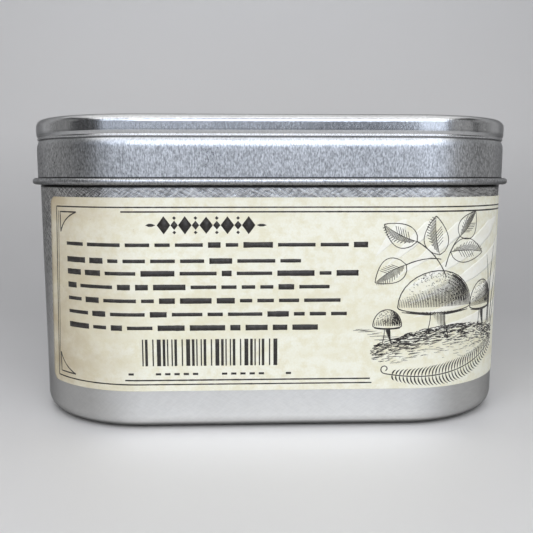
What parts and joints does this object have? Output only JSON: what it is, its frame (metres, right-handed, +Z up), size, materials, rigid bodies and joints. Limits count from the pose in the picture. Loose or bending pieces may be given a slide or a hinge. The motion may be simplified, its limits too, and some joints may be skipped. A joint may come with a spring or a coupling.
{
  "type": "oblong slip-lid tin",
  "caption": "Closed oblong metal tin with a deep-drawn body, a slip-on lid with a groove and a curled edge, and a paper label wrapped round its side.",
  "frame": {"origin": "middle of the tin's base, on the surface that it stands on", "axes": "+X along the tin's length, -Y out of its front face, +Z up through the lid"},
  "size_m": [0.1208, 0.0878, 0.0716],
  "materials": {
    "body_tinplate": "satin, with a faint grain",
    "lid_tinplate": "brushed up and down the side",
    "label_paper": "uncoated, cream, printed in dark brown"
  },
  "bodies": {
    "root": {"can_body": "body_tinplate", "lid": "lid_tinplate", "label": "label_paper"}
  },
  "joints": []
}
